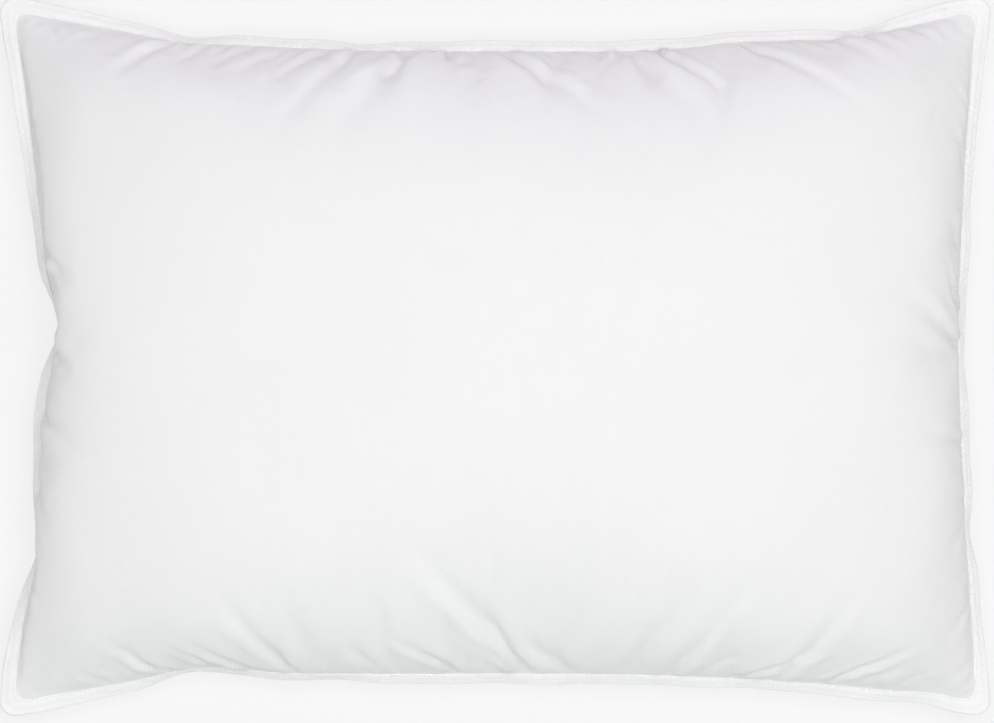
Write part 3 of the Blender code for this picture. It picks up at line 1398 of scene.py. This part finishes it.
@dataclass
class Filling:
    """The down inside the cover, as one soft closed body."""

    upper: CoverPanel
    lower: CoverPanel
    clearance: float = 0.0050
    loft_share: float = 0.92
    plan_share: float = 0.985
    join_within: float = 0.0004
    voxel: float = 0.0065

    def under(self, panel: CoverPanel) -> Array:
        """The panel's shape drawn in a little, so that creases stay clear of it.

        Args:
            panel: The panel that the filling lies under.

        Returns:
            Rows of X, Y and Z.
        """
        u, v = (panel.flat[:, :2] / panel.half_cut()).T
        seam = panel.line.level(u, v)
        points = panel.shape.copy()
        points[:, 2] = seam + self.loft_share * (points[:, 2] - seam)
        points[:, :2] *= self.plan_share
        return points

    def build(self) -> bpy.types.Object:
        """Joins both panels' shapes, closes them and draws them in a little.

        Returns:
            The finished filling.
        """
        shells = []
        for panel in (self.upper, self.lower):
            long_cells = round(panel.cut_length / panel.cell)
            wide_cells = round(panel.cut_width / panel.cell)
            shell = grid_strip("down_clusters", long_cells, wide_cells)
            place_points(shell, self.under(panel))
            if panel.face is Face.DOWN:
                shell.data.flip_normals()
            shells.append(shell)
        deselect()
        for shell in shells:
            shell.select_set(True)
        bpy.context.view_layer.objects.active = shells[0]
        bpy.ops.object.join()
        obj = bpy.context.object
        with editing(obj):
            bpy.ops.mesh.remove_doubles(threshold=self.join_within)
            bpy.ops.mesh.select_all(action="DESELECT")
        obj.data.remesh_voxel_size = self.voxel
        bpy.ops.object.voxel_remesh()
        inward = obj.modifiers.new("inside_the_cover", "DISPLACE")
        inward.mid_level = 0.0
        inward.strength = -self.clearance
        even = obj.modifiers.new("soft", "SMOOTH")
        even.iterations = 4
        apply_modifiers(obj)
        bpy.ops.object.shade_smooth()
        return obj


# ---------------------------------------------------------------- the studio


@dataclass(frozen=True)
class Softbox:
    """A square soft light, with its place in metres and its power in watts."""

    name: str
    place: tuple[float, float, float]
    power: float
    colour: tuple[float, float, float] = (1.0, 1.0, 1.0)
    size: float = 1.2


@dataclass
class Studio:
    """Floor, soft lights and a camera straight above the pillow."""

    lens: float = 95.0
    sensor: float = 36.0
    view_width: float = 0.6700
    focus_height: float = 0.062
    centre: tuple[float, float] = (0.0014, -0.0030)
    floor_size: float = 12.0
    soft_light: float = 0.27
    backdrop_tone: float = 0.80
    lights: tuple[Softbox, ...] = (
        Softbox("overhead_softbox", (0.12, 0.0, 2.6), 42.0),
        Softbox("back_softbox", (0.2, 2.2, 1.2), 6.5, (1.0, 0.84, 1.0)),
        Softbox("front_softbox", (0.1, -2.2, 1.2), 6.5, (0.93, 1.0, 1.0)),
        Softbox("left_softbox", (-2.2, 0.0, 1.2), 4.0),
        Softbox("right_softbox", (2.2, 0.0, 1.2), 4.5),
    )

    def add_floor(self) -> None:
        """Adds the pale floor that the pillow lies on."""
        deselect()
        bpy.ops.mesh.primitive_plane_add(size=self.floor_size, location=(0, 0, 0))
        floor = bpy.context.object
        floor.name = "studio_floor"
        floor.data.materials.append(FloorFinish().build())

    def add_light(self, box: Softbox) -> None:
        """Adds a square soft light that faces the pillow.

        Args:
            box: The light's place, power and colour.
        """
        data = bpy.data.lights.new(box.name, "AREA")
        data.size = box.size
        data.energy = box.power
        data.color = box.colour
        lamp = bpy.data.objects.new(box.name, data)
        lamp.location = box.place
        lamp.rotation_euler = Vector(box.place).to_track_quat("Z", "Y").to_euler()
        bpy.context.scene.collection.objects.link(lamp)

    def add_surroundings(self) -> None:
        """Adds soft light from all round, seen as a pale backdrop over the floor."""
        world = bpy.data.worlds.new("studio_surroundings")
        world.use_nodes = True
        background = world.node_tree.nodes["Background"]
        background.inputs["Color"].default_value = (1.0, 1.0, 1.0, 1.0)
        s = Sockets(world.node_tree)
        path = s.add("ShaderNodeLightPath", -700, 0)
        seen = self.backdrop_tone - self.soft_light
        extra = s.math("MULTIPLY", path.outputs["Is Camera Ray"], seen, -450, 0)
        s.join(s.math("ADD", extra, self.soft_light, -250, 0), background.inputs["Strength"])
        bpy.context.scene.world = world

    def add_camera(self) -> None:
        """Adds the camera, straight above the middle of the pillow."""
        data = bpy.data.cameras.new("camera")
        data.lens = self.lens
        data.sensor_width = self.sensor
        camera = bpy.data.objects.new("camera", data)
        distance = self.view_width * self.lens / self.sensor
        camera.location = (*self.centre, self.focus_height + distance)
        bpy.context.scene.collection.objects.link(camera)
        bpy.context.scene.camera = camera

    def build(self) -> None:
        """Sets up the floor, lights, surroundings and camera."""
        self.add_floor()
        for box in self.lights:
            self.add_light(box)
        self.add_surroundings()
        bpy.context.scene.view_settings.view_transform = "Standard"
        self.add_camera()


# ---------------------------------------------------------------- the creases


def main_creases() -> tuple[Crease, ...]:
    """The upper panel's larger creases, which mostly lean away from a side's middle.

    Returns:
        The creases, side by side along each side.
    """
    deeper, narrower = 1.85, 0.88
    # place along the side, length, depth, lean and width of each crease
    front = (
        (-0.80, 0.024, 0.0014, -0.75, 0.0040),
        (-0.67, 0.052, 0.0036, -0.60, 0.0045),
        (-0.535, 0.046, 0.0024, -0.80, 0.0040),
        (-0.485, 0.055, 0.0026, -0.75, 0.0045),
        (-0.41, 0.098, 0.0026, -0.42, 0.0055),
        (-0.22, 0.040, 0.0012, -0.65, 0.0050),
        (-0.075, 0.046, 0.0030, -0.85, 0.0045),
        (0.065, 0.130, 0.0046, -0.52, 0.0080),
        (0.045, 0.045, 0.0030, -0.70, 0.0040),
        (0.16, 0.050, 0.0026, -0.80, 0.0090),
        (0.355, 0.098, 0.0026, 0.40, 0.0055),
        (0.40, 0.035, 0.0018, 0.75, 0.0045),
        (0.49, 0.048, 0.0032, 1.05, 0.0045),
        (0.57, 0.094, 0.0030, 0.42, 0.0055),
        (0.665, 0.052, 0.0032, 1.05, 0.0045),
        (0.74, 0.034, 0.0020, 0.85, 0.0040),
        (0.82, 0.028, 0.0018, 0.80, 0.0040),
    )
    back = (
        (-0.93, 0.030, 0.0016, 0.60, 0.0040),
        (-0.80, 0.030, 0.0014, -0.60, 0.0045),
        (-0.665, 0.056, 0.0040, -0.50, 0.0055),
        (-0.655, 0.022, 0.0040, -0.45, 0.0030),
        (-0.585, 0.044, 0.0018, -0.45, 0.0045),
        (-0.50, 0.040, 0.0016, -0.60, 0.0045),
        (-0.425, 0.046, 0.0018, -0.65, 0.0045),
        (-0.34, 0.060, 0.0022, -0.60, 0.0050),
        (-0.275, 0.110, 0.0020, -0.46, 0.0065),
        (-0.205, 0.020, 0.0042, 0.60, 0.0030),
        (-0.175, 0.105, 0.0040, -0.36, 0.0090),
        (-0.15, 0.055, 0.0022, -0.60, 0.0050),
        (-0.095, 0.022, 0.0042, -0.10, 0.0030),
        (-0.04, 0.050, 0.0014, -0.45, 0.0050),
        (0.01, 0.080, 0.0034, 0.70, 0.0075),
        (0.20, 0.026, 0.0020, 0.70, 0.0040),
        (0.268, 0.040, 0.0018, -0.50, 0.0045),
        (0.32, 0.056, 0.0038, 0.70, 0.0045),
        (0.325, 0.022, 0.0036, 0.90, 0.0032),
        (0.275, 0.095, 0.0026, 0.42, 0.0085),
        (0.507, 0.084, 0.0030, 0.78, 0.0055),
        (0.60, 0.040, 0.0012, 0.60, 0.0045),
        (0.69, 0.048, 0.0022, 0.55, 0.0050),
        (0.75, 0.040, 0.0018, 0.60, 0.0040),
        (0.85, 0.030, 0.0022, 0.60, 0.0040),
    )
    left = (
        (0.60, 0.034, 0.0014, 0.55, 0.0045),
        (0.36, 0.070, 0.0030, -0.55, 0.0050),
        (0.17, 0.055, 0.0032, 0.35, 0.0055),
        (0.05, 0.055, 0.0032, -0.30, 0.0055),
        (-0.15, 0.070, 0.0026, -0.30, 0.0055),
        (-0.36, 0.045, 0.0020, -0.60, 0.0050),
        (-0.60, 0.040, 0.0014, -0.60, 0.0045),
    )
    right = (
        (0.55, 0.036, 0.0014, 0.60, 0.0045),
        (0.30, 0.040, 0.0016, 0.55, 0.0045),
        (0.09, 0.036, 0.0028, 1.10, 0.0040),
        (0.03, 0.085, 0.0032, 0.40, 0.0055),
        (-0.25, 0.070, 0.0026, 0.15, 0.0050),
        (-0.45, 0.040, 0.0016, -0.60, 0.0045),
        (-0.70, 0.034, 0.0012, -0.60, 0.0045),
    )
    rows = {Side.FRONT: front, Side.BACK: back, Side.LEFT: left, Side.RIGHT: right}
    return tuple(
        Crease(side, place, length, deeper * depth, lean, narrower * width)
        for side, group in rows.items()
        for place, length, depth, lean, width in group
    )


def small_creases(seed: int, strength: float) -> tuple[Crease, ...]:
    """Short puckers all along the seam, which lean away from each side's middle.

    Args:
        seed: Picks one arrangement of many.
        strength: How deep they are, 1 being usual.

    Returns:
        The creases.
    """
    rng = np.random.default_rng(seed)
    made = []
    for side, count in ((Side.FRONT, 44), (Side.BACK, 44), (Side.LEFT, 28), (Side.RIGHT, 28)):
        for place in np.linspace(-0.94, 0.94, count):
            shifted = float(place + rng.normal(0, 0.012))
            lean = math.copysign(rng.uniform(0.35, 0.9), shifted)
            depth = strength * rng.uniform(0.0003, 0.0011)
            made.append(Crease(side, shifted, rng.uniform(0.014, 0.045), depth, lean, 0.0036))
    return tuple(made)


# ---------------------------------------------------------------- the pillow


@dataclass
class BedPillow:
    """The whole pillow: cover, bound edge, stitching and filling."""

    line: SewnLine = field(default_factory=SewnLine)
    stitch_length: float = 0.0033

    def dress(
        self, obj: bpy.types.Object, material: bpy.types.Material, node: str
    ) -> None:
        """Gives a piece its material, its body and the part that it stands for.

        Args:
            obj: The finished piece.
            material: Its material.
            node: The part that the piece replaces.
        """
        obj.data.materials.clear()
        obj.data.materials.append(material)
        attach(obj, "root")
        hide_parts(node)
        log.info("%s: %d faces, stands for %s", obj.name, len(obj.data.polygons), node)

    def build(self) -> None:
        """Builds every piece in the order that they are sewn."""
        rail = self.line.rail(self.stitch_length / 4)
        top_height = CAD_BOX[1][2]
        cover = ClothFinish("cotton_cover", (0.90, 0.90, 0.90), (0.865, 0.865, 0.87))
        cover_cloth = cover.build()
        upper = CoverPanel(
            "top_panel_cloth",
            Face.UP,
            self.line,
            rail,
            seed=3,
            crown=top_height - self.line.height,
            creases=main_creases() + small_creases(11, 1.25),
        )
        self.dress(upper.build(), cover_cloth, "top_panel")
        lower = CoverPanel(
            "bottom_panel_cloth",
            Face.DOWN,
            self.line,
            rail,
            seed=8,
            crown=self.line.height * 1.3,
            creases=small_creases(29, 2.2),
        )
        self.dress(lower.build(), cover_cloth, "bottom_panel")
        filling = Filling(upper, lower).build()
        self.dress(filling, DownFinish().build(), "down_filling")
        binding = Binding(rail)
        strip = binding.build()
        # painted light: the binding's white is lighter than the cover's, for the light that the
        # upturned flange catches
        painted_light_strip_finish = ClothFinish(
            "cotton_binding",
            (0.96, 0.96, 0.96),
            (0.94, 0.94, 0.94),
            crumple_depth=0.0005,
            sheen=0.45,
        )
        self.dress(strip, painted_light_strip_finish.build(), "edge_binding")
        yarn = YarnFinish("cord_cotton", (0.80, 0.78, 0.74), (0.66, 0.64, 0.60), 500.0)
        cord = EdgeCord(rail).build()
        self.dress(cord, yarn.build(), "edge_cord")
        thread = YarnFinish("sewing_thread", (0.95, 0.95, 0.95), (0.86, 0.86, 0.86)).build()
        self.sew(rail, binding, thread)

    def sew(self, rail: Rail, binding: Binding, thread: bpy.types.Material) -> None:
        """Sews the rows of stitches through the binding.

        Args:
            rail: The sewn line's points.
            binding: The bound edge that the rows go through.
            thread: The thread's material.
        """
        surface = binding.leg - binding.dip + binding.thickness / 2
        rows = (("seam", binding.seam_row, 0), ("edge", binding.edge_row, 2))
        for row, place, shift in rows:
            for strand, face in (("needle", Face.UP), ("bobbin", Face.DOWN)):
                name = f"{row}_{strand}_stitches"
                stitches = StitchRow(name, rail, place, surface, face, shift=shift).build()
                self.dress(stitches, thread, f"{row}_{strand}_thread")
        between = (binding.seam_row + binding.edge_row) / 2
        leg_top = binding.leg + binding.thickness / 2
        closing = StitchRow(
            "opening_stitches",
            rail,
            between,
            leg_top,
            Face.DOWN,
            slant=0.0006,
            first=0.84,
            last=0.92,
        )
        self.dress(closing.build(), thread, "opening_thread")


def main() -> None:
    """Builds the studio and the pillow."""
    Studio().build()
    BedPillow().build()


if __name__ == "__main__":
    main()
